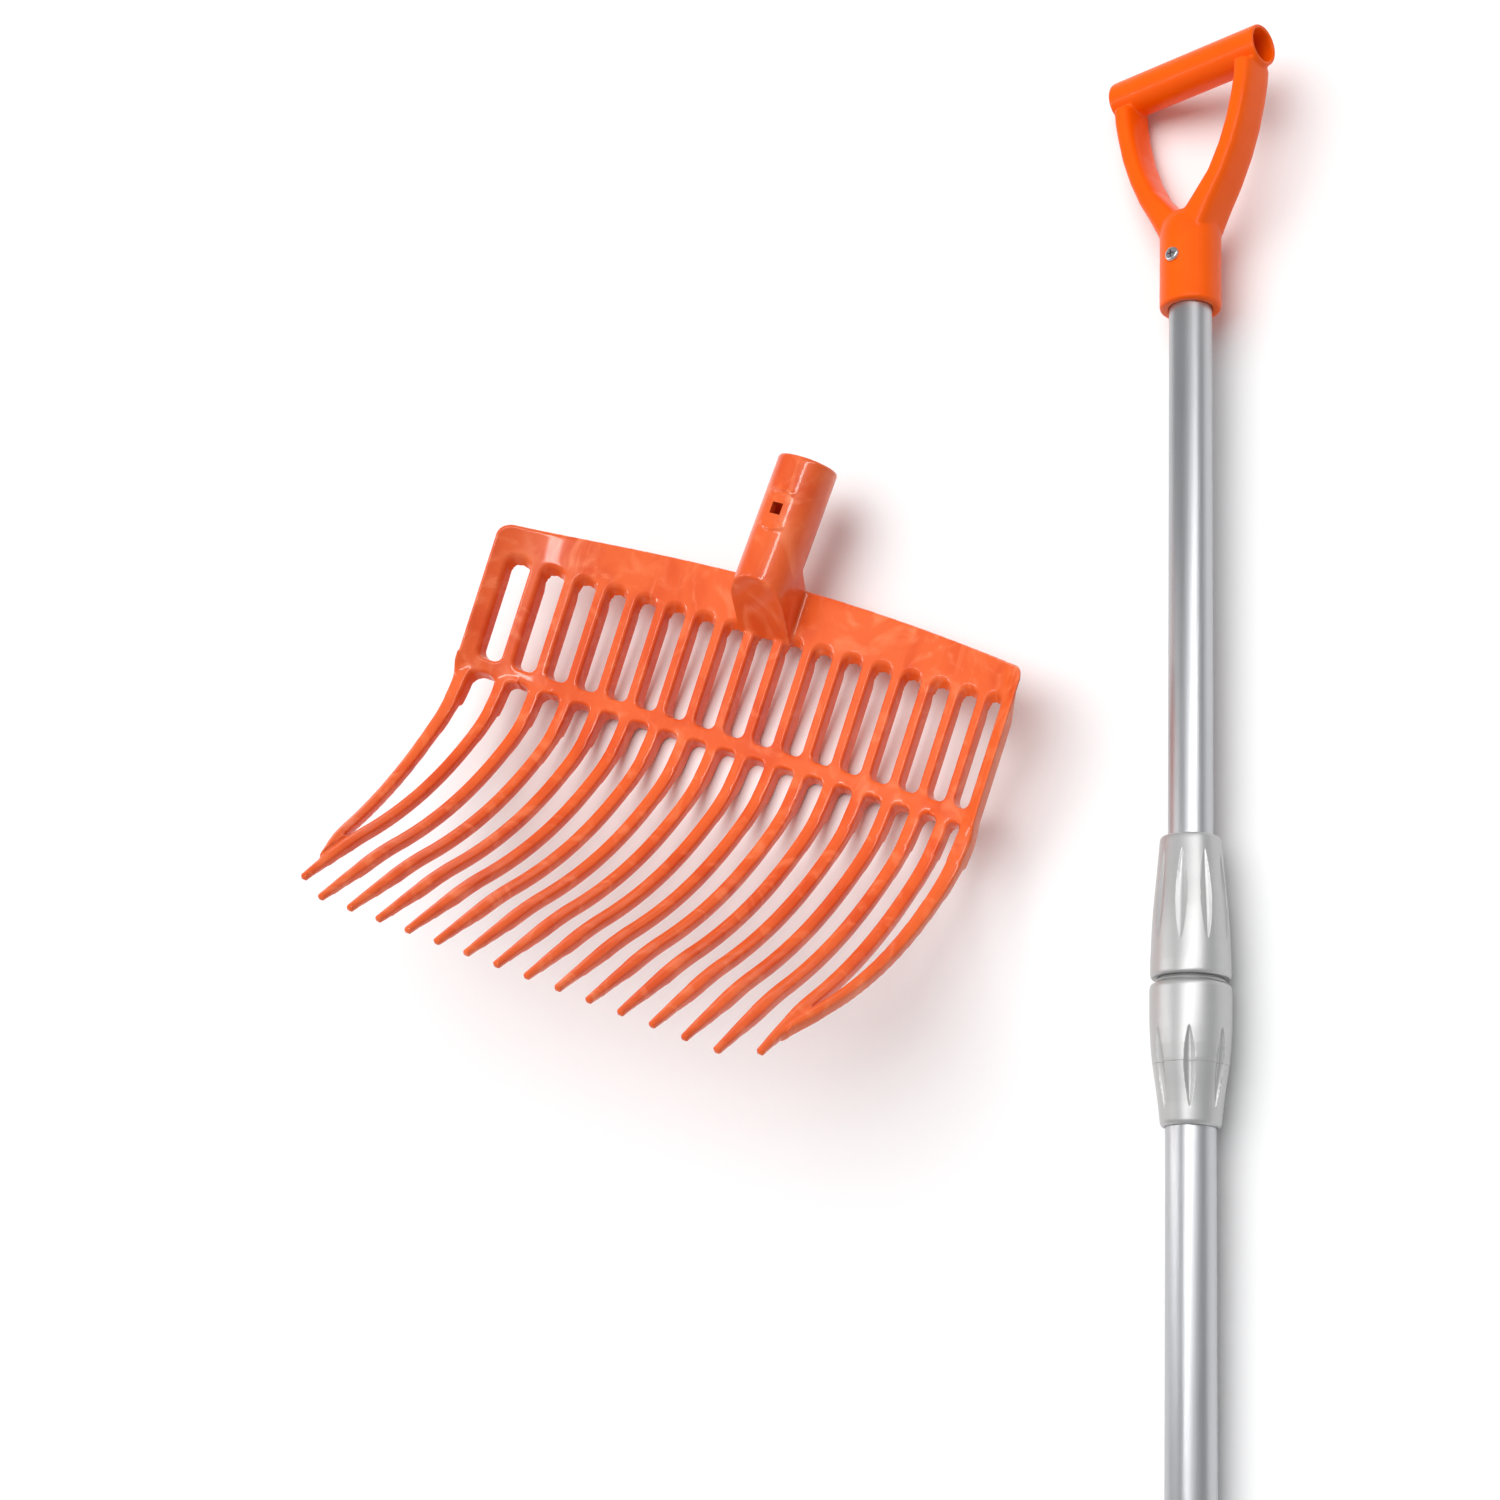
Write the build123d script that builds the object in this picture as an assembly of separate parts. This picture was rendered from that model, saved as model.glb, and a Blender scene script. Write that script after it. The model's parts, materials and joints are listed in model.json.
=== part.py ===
from build123d import *
import math
import os

# A moulded leaf and bedding fork head lying on its back, and beside it the
# telescopic pole with a D-grip that pushes into its socket.
# Millimetres, +Z up. The pole runs along +Y with its grip at the +Y end.

# ---- fork head: driving sizes -------------------------------------------
bar_count = 18            # bars across the grid, edge bars included
bar_pitch = 22.1          # spacing of the bars
bar_width = 7.6
bar_depth = 10.8          # front to back
edge_bar_width = 10.0
grid_height = 66.0        # slot tops to the cross rib
rib_height = 9.0
rib_depth = 9.0
band_height = 35.0        # plate above the slots, at the middle
band_drop = 13.0          # how much lower its corners are
band_thickness = 3.2
band_foot = 6.0           # full-depth beam along the slot tops
corner_radius = 9.0
dish_depth = 35.0         # how far the side edges stand forward of the middle

tine_width = 8.4
tine_depth = 8.0
tine_tip_width = 3.8
tine_tip_depth = 3.6
# Side curve of a tine from the rib down: arc length and turn in degrees.
tine_curve = [(45.0, 34.0), (75.0, 19.0), (42.0, 9.0), (30.0, -8.0), (50.0, 0.0)]
tine_neck = 50.0          # over this length the bar's depth fades into the tine's
tine_taper = 45.0         # length of the tapered point
corner_tine_cut = 12.0    # the corner tines are this much shorter
outer_tine_end = 180.0    # arc length at which an outer tine meets its neighbour

# ---- fork socket --------------------------------------------------------
pole_diameter = 28.0
socket_clearance = 0.25   # radial
socket_wall = 5.25
socket_lean = 4.6         # degrees, tilted back from the plate
socket_foot_y = 31.0      # height on the plate where the tube starts
socket_foot_z = 18.0      # axis height above the plate there
socket_length = 80.0
socket_floor = 2.0        # solid end left under the bore
bolt_square = 7.4         # square hole for a coach bolt, front wall
bolt_round = 7.0          # round hole for its thread, back wall
bolt_from_mouth = 36.0
gusset_thickness = 3.0
gusset_rise = 16.0        # how far the gussets climb past the plate's edge

# ---- pole tubes ---------------------------------------------------------
tube_wall = 0.9
slide_clearance = 0.3     # radial, between the two tubes
inner_wall = 1.0
outer_tube_free = 560.0   # lower end to the lock
outer_tube_in_lock = 60.0
upper_tube_shown = 329.0  # lock to the D-grip
upper_tube_length = 780.0
plug_flange = 2.0
plug_depth = 18.0
bush_collar = 12.0
bush_depth = 20.0
bush_clearance = 0.15

# ---- twist lock ---------------------------------------------------------
base_length = 79.0
groove = 4.0
nut_length = 81.0
lock_over_pole = 8.9      # the base's widest radius, beyond the pole's
nut_over_pole = 8.5
ring_over_pole = 5.7
neck_over_pole = 3.4      # the threaded neck, and the nut's thin top end
neck_length = 38.0
thread_clearance = 0.35
collet_length = 33.0
collet_wall = 3.0
collet_clearance = 0.06   # radial, on the upper tube
collet_slot = 1.6
part_gap = 0.3

# ---- D-grip -------------------------------------------------------------
grip_socket_radius = 18.5
grip_socket_length = 50.0
grip_tube_depth = 42.0
grip_bar_length = 108.0
grip_bar_radius = 13.0
grip_bar_wall = 2.6
grip_bar_height = 160.0   # bar axis above the socket's rim
grip_arm_width = 24.0     # across the plane of the D
grip_arm_thickness = 10.0
screw_height = 30.0
screw_radius = 2.0
screw_head_radius = 4.5
screw_head_height = 2.6
screw_length = 12.0
screw_sink = 0.6          # depth of the spot face under its head

# ---- how the two pieces lie ---------------------------------------------
plate_lean = 8.0          # degrees, the head rests on the heels of its tines
head_turn = -20.4         # degrees about +Z
head_beside_pole = 276.0  # pole axis to the middle of the head
head_along_pole = 874.0   # pole end to the middle of the head

# ---- sizes that follow --------------------------------------------------
half_span = (bar_count - 1) / 2 * bar_pitch
head_edge = half_span + edge_bar_width / 2
pole_radius = pole_diameter / 2
lock_radius = pole_radius + lock_over_pole
nut_radius = pole_radius + nut_over_pole
ring_radius = pole_radius + ring_over_pole
neck_radius = pole_radius + neck_over_pole
nut_top_radius = neck_radius
socket_bore = pole_radius + socket_clearance
socket_radius = socket_bore + socket_wall
socket_depth = socket_length - socket_floor
outer_tube_bore = pole_radius - tube_wall
inner_radius = outer_tube_bore - slide_clearance
inner_bore = inner_radius - inner_wall
base_low = outer_tube_free
base_high = base_low + base_length
nut_low = base_high + groove
nut_high = nut_low + nut_length
outer_tube_top = base_low + outer_tube_in_lock
grip_low = nut_high + upper_tube_shown
upper_tube_top = grip_low + grip_tube_depth
upper_tube_low = upper_tube_top - upper_tube_length
bar_height = grip_low + grip_bar_height
tine_length = sum(length for length, turn in tine_curve)


# ---- fork head: curves --------------------------------------------------
def dish(x):
    """How far forward the front face stands at x across the head."""
    q = x / half_span
    return dish_depth * (0.37 * q**2 + 0.39 * q**4 + 0.24 * q**8)


def along_tine(s):
    """Point (y, z) and heading of a middle tine's front edge at arc length s."""
    y = -grid_height - rib_height / 2
    z = 0.0
    heading = 0.0
    for length, turn in tine_curve:
        step = min(s, length)
        bend = math.radians(turn) * step / length
        chord = step if bend == 0 else 2 * math.sin(bend / 2) * step / bend
        y -= chord * math.cos(heading + bend / 2)
        z += chord * math.sin(heading + bend / 2)
        heading += bend
        s -= step
        if s <= 0:
            break
    return y, z, heading


def depth_at(s, end):
    """Front-to-back depth of a tine at arc length s."""
    if s < tine_neck:
        return bar_depth + (tine_depth - bar_depth) * s / tine_neck
    if s > end - tine_taper:
        share = (s - end + tine_taper) / tine_taper
        return tine_depth + (tine_tip_depth - tine_depth) * share
    return tine_depth


def tine_side(x, start, end):
    """Side outline of the tine at x, as a face in the YZ plane."""
    stations = [start + (end - start) * i / 10 for i in range(11)]
    front = []
    back = []
    for s in stations:
        y, z, heading = along_tine(s)
        fade = s / tine_length
        z += dish(x) * (1 - 0.26 * fade - 0.62 * fade**2)
        depth = depth_at(s, end)
        front.append((0, y, z))
        back.append((0, y - depth * math.sin(heading), z - depth * math.cos(heading)))
    edges = [Spline(*front), Line(front[-1], back[-1]), Spline(*back), Line(back[0], front[0])]
    return make_face(edges)


def tine_plan(track, start, end):
    """Outline seen from the front: half widths about the centre line track(s)."""
    stations = [start, end - tine_taper] + [end - tine_taper * (1 - i / 3) for i in (1, 2, 3)]
    if track(start) != track(end):
        stations = [start + (end - start) * i / 8 for i in range(9)]
    left = []
    right = []
    for s in stations:
        y = along_tine(s)[0]
        past = max(0.0, s - end + tine_taper) / tine_taper
        half = (tine_width + (tine_tip_width - tine_width) * past) / 2
        left.append((track(s) - half, y))
        right.append((track(s) + half, y))
    return make_face(Polyline(*left, *reversed(right), close=True).edges())


def strip(low, high, depth, front=0.0):
    """A piece of the dished sheet between two heights, front face at -front."""
    xs = [head_edge * (i / 6 - 1) for i in range(13)]
    near = [(x, dish(x) - front) for x in xs]
    far = [(x, z - depth) for x, z in near]
    sketch = make_face([Spline(*near), Line(near[-1], far[-1]), Spline(*far), Line(far[0], near[0])])
    plane = Plane((0, low, 0), x_dir=(1, 0, 0), z_dir=(0, -1, 0))
    return extrude(plane * sketch, -(high - low))


def prism(face, depth=200.0):
    """Extrude a face both ways along its normal."""
    return extrude(face, depth, both=True)


# ---- fork head: pieces --------------------------------------------------
bar_x = [(i - (bar_count - 1) / 2) * bar_pitch for i in range(bar_count)]
socket_axis = Plane(
    (0, socket_foot_y, socket_foot_z),
    x_dir=(1, 0, 0),
    z_dir=(0, math.cos(math.radians(socket_lean)), -math.sin(math.radians(socket_lean))),
)


def on_socket(shape):
    """Place a shape built on +Z onto the socket's axis."""
    return socket_axis * shape


def upright(radius, low, high):
    """A cylinder on +Z between two heights."""
    return Pos(0, 0, low) * Cylinder(radius, high - low, align=(Align.CENTER, Align.CENTER, Align.MIN))


def make_fork_plate():
    top = band_height
    corner = band_height - band_drop
    edge = head_edge
    line = [
        ThreePointArc((-edge, corner), (0, top), (edge, corner)),
        Line((edge, corner), (edge, -1)),
        Line((edge, -1), (-edge, -1)),
        Line((-edge, -1), (-edge, corner)),
    ]
    outline = make_face(line)
    corners = outline.vertices().sort_by(Axis.Y)[-2:]
    outline = fillet(corners, corner_radius)
    plate = strip(0, band_foot, bar_depth) + strip(band_foot, top + 1, band_thickness)
    plate = plate & prism(outline)
    return plate - on_socket(upright(socket_radius, -1, socket_length))


def make_grid_bars():
    grid = strip(-grid_height, 0, bar_depth)
    bars = []
    for i, x in enumerate(bar_x):
        edge = i in (0, bar_count - 1)
        width = edge_bar_width if edge else bar_width
        bars.append(grid & Pos(x, -grid_height / 2, 0) * Box(width, grid_height, 200))
    return bars


def make_cross_rib():
    return strip(-grid_height - rib_height, -grid_height, rib_depth)


rib_cut = Pos(0, -grid_height - rib_height + 250, 0) * Box(1000, 500, 400)


def make_fork_tines():
    tines = []
    for i, x in enumerate(bar_x[1:-1]):
        corner = i in (0, bar_count - 3)
        end = tine_length - (corner_tine_cut if corner else 0)
        side = extrude(tine_side(x, 0, end), tine_width, both=True)
        tine = Pos(x, 0, 0) * side & prism(tine_plan(lambda s: x, -1, end))
        tines.append(tine - rib_cut)
    return tines


def make_outer_tines():
    tines = []
    for side in (-1, 1):
        start = side * half_span
        finish = side * (half_span - bar_pitch + tine_width)

        def track(s):
            share = max(0.0, s) / outer_tine_end
            return start + (finish - start) * share**2.2

        outline = extrude(tine_side(start, 0, outer_tine_end + tine_taper), 40, both=True)
        tine = Pos(start, 0, 0) * outline & prism(tine_plan(track, 0, outer_tine_end))
        tines.append(tine - rib_cut)
    return tines


def make_fork_socket():
    tube = upright(socket_radius, 0, socket_length) - upright(socket_bore, socket_floor, socket_length)
    bolt_z = socket_length - bolt_from_mouth
    tube -= Pos(0, -socket_radius, bolt_z) * Box(bolt_square, socket_radius, bolt_square)
    tube -= Pos(0, socket_radius, bolt_z) * Rot(X=90) * Cylinder(bolt_round / 2, socket_radius)
    return on_socket(tube)


def socket_block():
    """Solid D-shaped body under and beside the tube, down to the plate."""
    return on_socket(upright(socket_radius, -100, 200)) + Pos(0, 0, socket_foot_z / 2) * Box(
        2 * socket_radius, 400, socket_foot_z
    )


def under_ramp():
    """Everything between the plate and the ramp that climbs to the tube's end."""
    rise = socket_foot_z + socket_radius
    points = [(0, 1, 0), (0, socket_foot_y, rise), (0, socket_foot_y, 0)]
    return extrude(make_face(Polyline(*points, close=True).edges()), 100, both=True)


def make_socket_gussets(plate):
    top = band_height + gusset_rise
    points = [(0, 1, 0), (0, socket_foot_y, socket_foot_z), (0, top, socket_foot_z), (0, band_height, 0)]
    web = extrude(make_face(Polyline(*points, close=True).edges()), gusset_thickness)
    tube = on_socket(upright(socket_radius, -50, 200))
    right = Pos(socket_radius - gusset_thickness, 0, 0) * web - tube - plate
    return [right, mirror(right, Plane.YZ)]


def make_socket_foot(socket, gussets, plate):
    foot = (under_ramp() & socket_block()) - socket - plate
    for gusset in gussets:
        foot -= gusset
    return foot


fork_socket = make_fork_socket()
fork_plate = make_fork_plate()
socket_gussets = make_socket_gussets(fork_plate)
socket_foot = make_socket_foot(fork_socket, socket_gussets, fork_plate)
head_pieces = {
    "fork_socket": [fork_socket],
    "socket_foot": [socket_foot],
    "socket_gussets": socket_gussets,
    "fork_plate": [fork_plate],
    "grid_bars": make_grid_bars(),
    "cross_rib": [make_cross_rib()],
    "fork_tines": make_fork_tines(),
    "outer_tines": make_outer_tines(),
}


# ---- pole: pieces, built standing on +Z with the lower end at 0 ---------
def turned(points):
    """Revolve an outline of (radius, height) points about +Z."""
    outline = make_face(Polyline(*[(r, 0, z) for r, z in points], close=True).edges())
    return revolve(outline, Axis.Z)


def make_lower_tube():
    tube = upright(pole_radius, plug_flange, outer_tube_top) - upright(outer_tube_bore, 0, outer_tube_top)
    bolt_z = plug_flange + socket_depth - bolt_from_mouth
    return tube - Pos(0, 0, bolt_z) * Rot(X=90) * Cylinder(bolt_round / 2, pole_diameter)


def make_lower_end_plug():
    plug = upright(pole_radius, 0, plug_flange) + upright(outer_tube_bore, plug_flange, plug_depth)
    return plug - upright(outer_tube_bore - 3, plug_flange, plug_depth)


def make_lock_base():
    low = base_low
    high = base_high
    shell = [
        (pole_radius, low), (pole_radius + 1.8, low), (pole_radius + 2.6, low + 2),
        (lock_radius - 5.7, low + 14), (lock_radius - 2.7, low + 28), (lock_radius - 0.7, low + 44),
        (lock_radius, low + 62), (lock_radius, high - 2),
        (lock_radius - 1, high), (neck_radius, high), (neck_radius, high + neck_length),
        (inner_radius + part_gap, high + neck_length), (inner_radius + part_gap, outer_tube_top),
        (pole_radius, outer_tube_top),
    ]
    return turned(shell)


def make_lock_ring():
    ring = upright(ring_radius, base_high, nut_low - part_gap)
    return ring - upright(neck_radius + 0.05, base_high, nut_low)


collet_low = base_high + neck_length + part_gap
collet_high = collet_low + collet_length


def make_lock_nut():
    bore = neck_radius + thread_clearance
    chamber = inner_radius + collet_clearance + collet_wall + part_gap
    shell = [
        (bore, nut_low), (nut_radius - 0.8, nut_low), (nut_radius, nut_low + 2),
        (nut_radius - 0.5, nut_low + 20), (nut_radius - 1.2, nut_low + 37), (nut_radius - 2.8, nut_low + 52),
        (nut_top_radius + 0.7, nut_low + 68), (nut_top_radius, nut_high - 3),
        (nut_top_radius - 0.8, nut_high), (inner_radius + part_gap, nut_high),
        (inner_radius + part_gap, collet_high + part_gap), (chamber, collet_high + part_gap),
        (chamber, collet_low), (bore, collet_low),
    ]
    return turned(shell)


def make_lock_collet():
    hole = inner_radius + collet_clearance
    sleeve = upright(hole + collet_wall, collet_low, collet_high) - upright(hole, 0, collet_high)
    for angle in (0, 90):
        slot = Pos(0, 0, collet_high) * Box(4 * pole_radius, collet_slot, 2 * (collet_length - 6))
        sleeve -= Rot(Z=angle) * slot
    return sleeve


def make_upper_tube():
    tube = upright(inner_radius, upper_tube_low, upper_tube_top)
    tube -= upright(inner_bore, upper_tube_low, upper_tube_top)
    screw_z = grip_low + screw_height
    return tube - Pos(0, -inner_radius, screw_z) * Rot(X=90) * Cylinder(screw_radius, inner_radius)


def make_guide_bush():
    collar = upright(outer_tube_bore - bush_clearance, upper_tube_low - bush_collar, upper_tube_low)
    bush = collar + upright(inner_bore, upper_tube_low, upper_tube_low + bush_depth)
    return bush - upright(inner_bore - 3, 0, upper_tube_top)


def make_d_grip():
    half = grip_bar_length / 2
    neck = grip_socket_length
    top = grip_bar_height
    outer = [(grip_socket_radius - 0.5, neck), (25, neck + 13), (40, neck + 40), (50, neck + 78), (half - 2, top)]
    thick = grip_arm_thickness
    crotch = neck + 16
    inner = [(0, crotch), (12, crotch + 6), (28, crotch + 30), (50 - thick, crotch + 62), (half - 2 - thick, top)]
    right = [
        Line((0, neck), outer[0]), Spline(*outer), Line(outer[-1], inner[-1]),
        Spline(*reversed(inner)), Line(inner[0], (0, neck)),
    ]
    arm = extrude(Plane.XZ * make_face(right), grip_arm_width / 2, both=True)
    grip = arm + mirror(arm, Plane.YZ)
    grip += upright(grip_socket_radius, 0, neck)
    grip += Pos(0, 0, neck) * Sphere(grip_socket_radius)
    bar = Pos(0, 0, top) * Rot(Y=90) * Cylinder(grip_bar_radius, grip_bar_length)
    grip += bar
    grip -= Pos(0, 0, top) * Rot(Y=90) * Cylinder(grip_bar_radius - grip_bar_wall, grip_bar_length)
    grip -= upright(inner_radius, 0, grip_tube_depth)
    front = Pos(0, -grip_socket_radius, screw_height) * Rot(X=90)
    grip -= front * Cylinder(screw_radius, grip_socket_radius)
    grip -= front * upright(screw_head_radius + 0.1, -screw_sink, screw_head_height)
    return Pos(0, 0, grip_low) * grip


def make_grip_screw():
    head = Cylinder(screw_head_radius, screw_head_height, align=(Align.CENTER, Align.CENTER, Align.MIN))
    head = fillet(head.edges().sort_by(Axis.Z)[-1], screw_head_height * 0.6)
    head -= Pos(0, 0, screw_head_height - 1.2) * Box(1.1, 5, 3) + Pos(0, 0, screw_head_height - 1.2) * Box(5, 1.1, 3)
    shank = Pos(0, 0, -screw_length) * Cylinder(
        screw_radius, screw_length, align=(Align.CENTER, Align.CENTER, Align.MIN)
    )
    seat = grip_socket_radius - screw_sink
    return Pos(0, -seat, grip_low + screw_height) * Rot(X=90) * (head + shank)


pole_pieces = {
    "lower_tube": [make_lower_tube()],
    "lower_end_plug": [make_lower_end_plug()],
    "lock_base": [make_lock_base()],
    "lock_ring": [make_lock_ring()],
    "lock_collet": [make_lock_collet()],
    "lock_nut": [make_lock_nut()],
    "upper_tube": [make_upper_tube()],
    "guide_bush": [make_guide_bush()],
    "d_grip": [make_d_grip()],
    "grip_screw": [make_grip_screw()],
}

# ---- laying both on the ground ------------------------------------------
# The pole rests on its lower end and its lock, so it climbs a little, and the
# D-grip rolls until one end of its bar touches the ground.
pole_climb = math.degrees(math.asin((lock_radius - pole_radius) / (base_high - 2)))
axis_height = pole_radius + bar_height * math.sin(math.radians(pole_climb))
bar_corner = math.hypot(grip_bar_length / 2, grip_bar_radius)
grip_roll = math.degrees(
    math.asin(axis_height / bar_corner) - math.atan2(grip_bar_radius, grip_bar_length / 2)
)
pole_place = Pos(0, 0, pole_radius) * Rot(X=-90 + pole_climb) * Rot(Z=-grip_roll)

head_rest = Rot(Z=head_turn) * Rot(X=plate_lean)
heels = Compound([head_rest * s for s in head_pieces["grid_bars"] + head_pieces["fork_tines"]])
head_place = Pos(-head_beside_pole, head_along_pole, -heels.bounding_box().min.Z) * head_rest

solids = {name: [head_place * s for s in pieces] for name, pieces in head_pieces.items()}
solids.update({name: [pole_place * s for s in pieces] for name, pieces in pole_pieces.items()})

# The row frame's origin is the middle of the whole set's footprint, on the ground.
whole = Compound([s for pieces in solids.values() for s in pieces]).bounding_box()
frame = Pos(-(whole.min.X + whole.max.X) / 2, -(whole.min.Y + whole.max.Y) / 2, -whole.min.Z)

os.makedirs("parts", exist_ok=True)
for name, pieces in solids.items():
    placed = [frame * s for s in pieces]
    shape = placed[0] if len(placed) == 1 else Compound(placed)
    export_step(shape, f"parts/{name}.step")
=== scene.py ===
import json
import math

import bmesh
import bpy
from mathutils import Matrix, Vector


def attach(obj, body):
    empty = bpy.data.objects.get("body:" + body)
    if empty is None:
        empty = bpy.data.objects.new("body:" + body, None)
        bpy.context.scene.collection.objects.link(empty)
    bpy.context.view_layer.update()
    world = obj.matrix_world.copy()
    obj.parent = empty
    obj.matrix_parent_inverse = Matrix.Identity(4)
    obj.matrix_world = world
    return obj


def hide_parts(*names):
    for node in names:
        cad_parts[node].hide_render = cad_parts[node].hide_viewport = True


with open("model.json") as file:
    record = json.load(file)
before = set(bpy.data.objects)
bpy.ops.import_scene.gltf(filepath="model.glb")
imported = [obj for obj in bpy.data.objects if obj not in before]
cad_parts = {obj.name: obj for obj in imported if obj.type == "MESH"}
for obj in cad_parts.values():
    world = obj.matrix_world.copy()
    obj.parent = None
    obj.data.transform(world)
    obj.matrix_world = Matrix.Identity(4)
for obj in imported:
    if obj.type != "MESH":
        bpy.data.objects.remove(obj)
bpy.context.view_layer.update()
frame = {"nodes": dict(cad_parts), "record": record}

# ==== How the two pieces lie ==============================================
# The fork head and the pole are loose from each other, side by side on the
# floor. Each is made in millimetres about its own axis, and these two
# matrices lay it where the frame has it.
mounts = {mount["name"]: mount for mount in frame["record"]["mounts"]}
MM = Matrix.Scale(0.001, 4)

socket_lean = math.radians(4.6)       # the socket leans back from the plate
socket_foot = Vector((0, 31, 18))     # where its axis starts, in the head's own frame
socket_length = 80.0
socket_along = Vector((0, math.cos(socket_lean), -math.sin(socket_lean)))
bore = mounts["fork_socket_bore"]
head_turn = math.atan2(-bore["axis"][0], bore["axis"][1])
head_lean = math.asin(bore["axis"][2]) + socket_lean
head_turned = Matrix.Rotation(head_turn, 4, "Z") @ Matrix.Rotation(head_lean, 4, "X")
mouth = socket_foot + socket_along * socket_length
head_place = Matrix.Translation(bore["pos_m"]) @ head_turned @ MM @ Matrix.Translation(-mouth)

pin = mounts["pole_lower_end"]
pin_height = 41.0                     # the pin's middle, above the pole's lower end
grip_roll = math.radians(20.33)       # one end of the grip bar touches the floor
pole_climb = -math.asin(pin["axis"][2])
pole_turned = Matrix.Rotation(pole_climb - math.pi / 2, 4, "X") @ Matrix.Rotation(-grip_roll, 4, "Z")
pole_place = Matrix.Translation(pin["pos_m"]) @ pole_turned @ MM @ Matrix.Translation((0, 0, -pin_height))

# ==== Camera ==============================================================
# A little over a metre and a half from the grid, to its right and looking
# back across it, rolled so that the pole stands upright in the picture.
camera_stands = Vector((800.4, -83.8, 1413.5))
camera_looks = Vector((-0.4852, 0.0081, -0.8743))
camera_up = Vector((-0.2633, 0.9522, 0.155))
spin = head_turned.to_3x3()
back = -(spin @ camera_looks).normalized()
side = (spin @ camera_up).cross(back).normalized()
camera = bpy.data.objects.new("camera", bpy.data.cameras.new("camera"))
camera.data.lens = 62.0
camera.data.sensor_width = 36.0
camera.matrix_world = Matrix.Translation(head_place @ camera_stands) @ Matrix(
    (side, back.cross(side), back)
).transposed().to_4x4()
bpy.context.scene.collection.objects.link(camera)
bpy.context.scene.camera = camera

# ==== Fork head ===========================================================
# One injection moulding in glossy orange-red plastic: a dished grid of bars
# with sixteen long curved tines below, a thin plate above, and the socket.
# It is built flat, melted into one skin with moulded fillets, and then bent.
bar_pitch = 22.1
bar_count = 18
bar_width = 7.6
bar_depth = 10.8
edge_bar_width = 10.0
half_span = (bar_count - 1) / 2 * bar_pitch
head_edge = half_span + edge_bar_width / 2
grid_height = 66.0
rib_height = 9.0
plate_top = 35.0
plate_drop = 13.0
plate_thickness = 3.2
corner_radius = 9.0
edge_round = 1.2          # how far the front edges are bevelled
slab_top = 8.0
slab_chamfer = 11.0       # the back slopes from here below the slots' tops up into the thin plate
slot_ramp = 5.0           # a slot's top starts this far up the front, and ends as far down the back
dish_depth = 35.0
dish_shape = {2: 0.37, 4: 0.39, 8: 0.24}    # shares of the dish's depth, by power of the width
dish_fade = (0.26, 0.62)  # how the dish flattens out towards the tines' tips
tine_root = -grid_height - rib_height / 2
tine_curve = [(45.0, 34.0), (75.0, 19.0), (42.0, 9.0), (30.0, -8.0), (50.0, 0.0)]
tine_length = sum(length for length, turn in tine_curve)
tine_width = 8.4
tine_depth = 8.0
tine_crown = 1.3          # height of the ridge along its front
tine_tip_width = 5.0
tine_tip_depth = 4.6
tine_end = tine_length - 3.9    # the tips are rounded off short of the curve's end
own_dish_from = 14.0      # from here down each tine keeps its own middle's dish
tine_neck = 50.0
tine_taper = 45.0
corner_tine_cut = 12.0
outer_tine_end = 180.0
outer_web_end = 206.0     # the web that closes the fork between an outer tine and its neighbour
moulding_grain = 0.9      # the finest detail that the melted skin keeps
bar_x = [(i - (bar_count - 1) / 2) * bar_pitch for i in range(bar_count)]


def skin(bm, rings, ring_shaped=False):
    """Skins rings of equal count. A stack gets end caps, a ring of rings closes on itself."""
    rows = [[bm.verts.new(point) for point in ring] for ring in rings]
    pairs = list(zip(rows, rows[1:]))
    if ring_shaped:
        pairs.append((rows[-1], rows[0]))
    else:
        bm.faces.new(list(reversed(rows[0])))
        bm.faces.new(rows[-1])
    for low, high in pairs:
        for i, vert in enumerate(low):
            j = (i + 1) % len(low)
            bm.faces.new((vert, low[j], high[j], high[i]))


def as_object(name, bm):
    """Turns a bmesh into an object in the scene, its faces looking outward."""
    bmesh.ops.recalc_face_normals(bm, faces=bm.faces)
    mesh = bpy.data.meshes.new(name)
    bm.to_mesh(mesh)
    bm.free()
    made = bpy.data.objects.new(name, mesh)
    bpy.context.scene.collection.objects.link(made)
    return made


def settle(made):
    """Applies the object's modifiers to its mesh."""
    shaped = made.evaluated_get(bpy.context.evaluated_depsgraph_get())
    mesh = bpy.data.meshes.new_from_object(shaped)
    made.modifiers.clear()
    made.data = mesh


def cut(made, cutter):
    """Cuts one object out of another and throws the cutter away."""
    tool = made.modifiers.new("cut", "BOOLEAN")
    tool.operation = "DIFFERENCE"
    tool.solver = "EXACT"
    tool.object = cutter
    settle(made)
    bpy.data.objects.remove(cutter)


def joined(name, parts):
    """Puts several objects' faces into one object and throws them away."""
    bm = bmesh.new()
    for part in parts:
        bm.from_mesh(part.data)
        bpy.data.objects.remove(part)
    mesh = bpy.data.meshes.new(name)
    bm.to_mesh(mesh)
    bm.free()
    made = bpy.data.objects.new(name, mesh)
    bpy.context.scene.collection.objects.link(made)
    return made


def melted(made, grain, rounds):
    """Melts overlapping shells into one skin and rounds its edges and inner corners."""
    remesh = made.modifiers.new("melt", "REMESH")
    remesh.mode = "VOXEL"
    remesh.voxel_size = grain
    soften = made.modifiers.new("soften", "SMOOTH")
    soften.factor = 0.5
    soften.iterations = rounds
    settle(made)


def smooth(made):
    for face in made.data.polygons:
        face.use_smooth = True


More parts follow.
